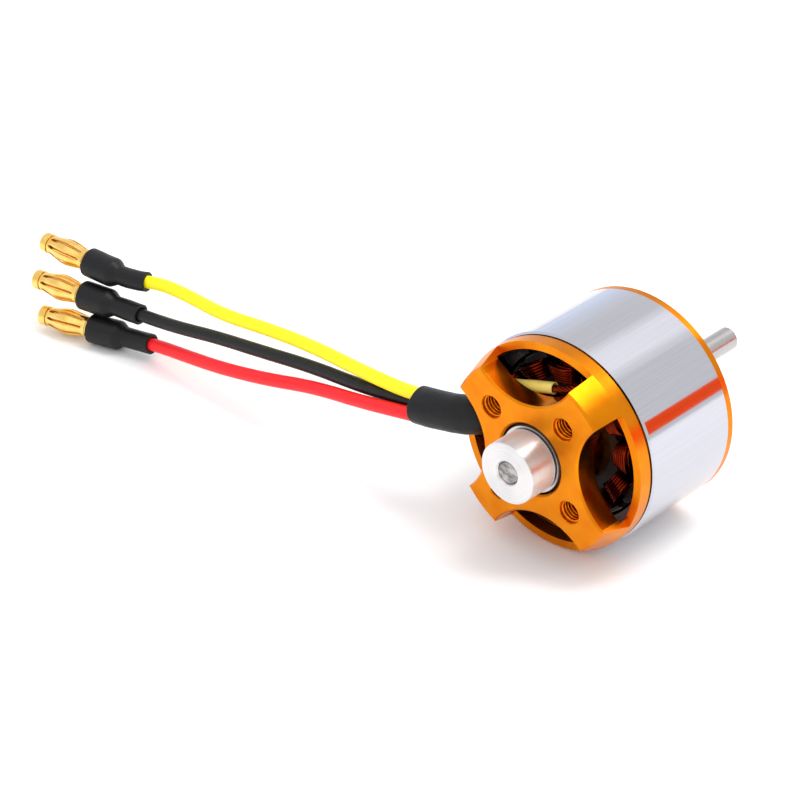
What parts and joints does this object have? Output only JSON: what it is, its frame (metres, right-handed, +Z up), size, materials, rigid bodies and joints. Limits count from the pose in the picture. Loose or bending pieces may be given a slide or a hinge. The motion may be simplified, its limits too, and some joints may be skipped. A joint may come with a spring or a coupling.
{
  "type": "brushless outrunner motor",
  "caption": "Small brushless outrunner motor with a scalloped cross-shaped mount, polished rotor can, output shaft and three leads ending in bullet connectors.",
  "frame": {"origin": "centre of the mount face, on the shaft's axis", "axes": "+Y along the shaft towards its output tip, +Z up with the motor lying on its can, +X to the right, the leads run towards -X"},
  "size_m": [0.1052, 0.0449, 0.0284],
  "materials": {
    "gold_anodised": "bright gold-orange anodised, machined, satin gloss",
    "laminations": "stacked silicon-steel laminations, varnished",
    "slot_insulation": "black slot insulation, matt",
    "enamelled_copper": "dark red-brown enamelled copper wire, glossy",
    "shaft_steel": "ground steel",
    "polished_can": "polished bright nickel-plated steel",
    "magnet_nickel": "nickel-plated magnets, dark under a film of resin",
    "black_steel": "black oxide",
    "collar_metal": "turned and polished, satin face",
    "bearing_steel": "ground bearing steel",
    "cage_brass": "pressed brass",
    "black_sleeve": "black heat-shrink tube, satin",
    "pale_tubing": "pale yellow insulation tubing",
    "yellow_silicone": "yellow lead insulation, satin",
    "black_silicone": "black lead insulation, satin",
    "red_silicone": "red lead insulation, satin",
    "gold_plating": "gold plating on brass",
    "solder": "tin solder"
  },
  "bodies": {
    "stator": {"base_mount": "gold_anodised", "stator_core": "laminations", "insulator_front": "slot_insulation", "insulator_rear": "slot_insulation", "coils_phase_a": "enamelled_copper", "coils_phase_b": "enamelled_copper", "coils_phase_c": "enamelled_copper", "lead_bundle_sleeve": "black_sleeve", "tail_insulation_yellow": "pale_tubing", "tail_insulation_red": "pale_tubing", "bearing_outer_race_front": "bearing_steel", "bearing_shields_front": "bearing_steel", "bearing_outer_race_rear": "bearing_steel", "bearing_shields_rear": "bearing_steel", "lead_yellow": "yellow_silicone", "heat_shrink_yellow": "black_sleeve", "bullet_pin_yellow": "gold_plating", "lantern_spring_yellow": "gold_plating", "cup_solder_yellow": "solder", "lead_solder_yellow": "solder", "winding_tail_yellow": "enamelled_copper", "lead_black": "black_silicone", "heat_shrink_black": "black_sleeve", "bullet_pin_black": "gold_plating", "lantern_spring_black": "gold_plating", "cup_solder_black": "solder", "lead_solder_black": "solder", "winding_tail_black": "enamelled_copper", "lead_red": "red_silicone", "heat_shrink_red": "black_sleeve", "bullet_pin_red": "gold_plating", "lantern_spring_red": "gold_plating", "cup_solder_red": "solder", "lead_solder_red": "solder", "winding_tail_red": "enamelled_copper"},
    "rotor": {"shaft": "shaft_steel", "flux_ring": "polished_can", "magnets": "magnet_nickel", "end_bell": "gold_anodised", "hub_grub_screw": "black_steel", "shaft_collar": "collar_metal", "collar_grub_screw": "black_steel", "collar_washer": "bearing_steel", "bell_spacer": "bearing_steel", "bearing_inner_race_front": "bearing_steel", "bearing_inner_race_rear": "bearing_steel"},
    "front_ball_set": {"bearing_balls_front": "bearing_steel", "bearing_cage_front": "cage_brass"},
    "rear_ball_set": {"bearing_balls_rear": "bearing_steel", "bearing_cage_rear": "cage_brass"}
  },
  "joints": [
    {"name": "rotor_spin", "type": "hinge", "parent": "stator", "child": "rotor", "pos_m": [0, 0.01, 0], "axis": [0, 1, 0], "continuous": true},
    {"name": "front_balls_spin", "type": "hinge", "parent": "stator", "child": "front_ball_set", "pos_m": [0, 0.00213, 0], "axis": [0, 1, 0], "continuous": true},
    {"name": "rear_balls_spin", "type": "hinge", "parent": "stator", "child": "rear_ball_set", "pos_m": [0, 0.01628, 0], "axis": [0, 1, 0], "continuous": true}
  ],
  "couplings": [
    {"joint": "front_balls_spin", "follows": "rotor_spin", "ratio": 0.375},
    {"joint": "rear_balls_spin", "follows": "rotor_spin", "ratio": 0.375}
  ]
}
